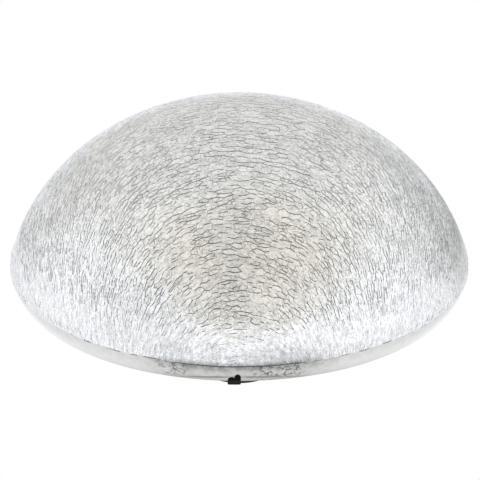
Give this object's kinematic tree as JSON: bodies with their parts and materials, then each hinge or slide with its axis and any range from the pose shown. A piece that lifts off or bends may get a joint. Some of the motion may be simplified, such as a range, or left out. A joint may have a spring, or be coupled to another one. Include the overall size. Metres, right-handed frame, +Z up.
{
  "type": "silvered crackle glass garden dome",
  "caption": "Mushroom-cap gazing dome of silvered crackle glass, smooth underneath, with a short neck closed by a rubber stopper.",
  "frame": {"origin": "centre of the stopper's flat bottom face, which the dome rests on", "axes": "+Z up along the dome's axis of revolution; -Y is the side with the stopper's pull lug, +X to its right"},
  "size_m": [0.3048, 0.3048, 0.1872],
  "materials": {
    "crackle_glass": "clear blown glass, crackled above the widest circle and smooth below it, polished surface",
    "silvering": "deposited silver mirror film",
    "stopper_rubber": "matte black moulded rubber"
  },
  "bodies": {
    "dome": {"glass_shell": "crackle_glass", "silver_lining": "silvering"},
    "stopper": {"rubber_stopper": "stopper_rubber"}
  },
  "joints": [
    {"name": "stopper_pull", "type": "slide", "parent": "dome", "child": "stopper", "axis": [0, 0, -1], "range_m": [0, 0.03]}
  ]
}
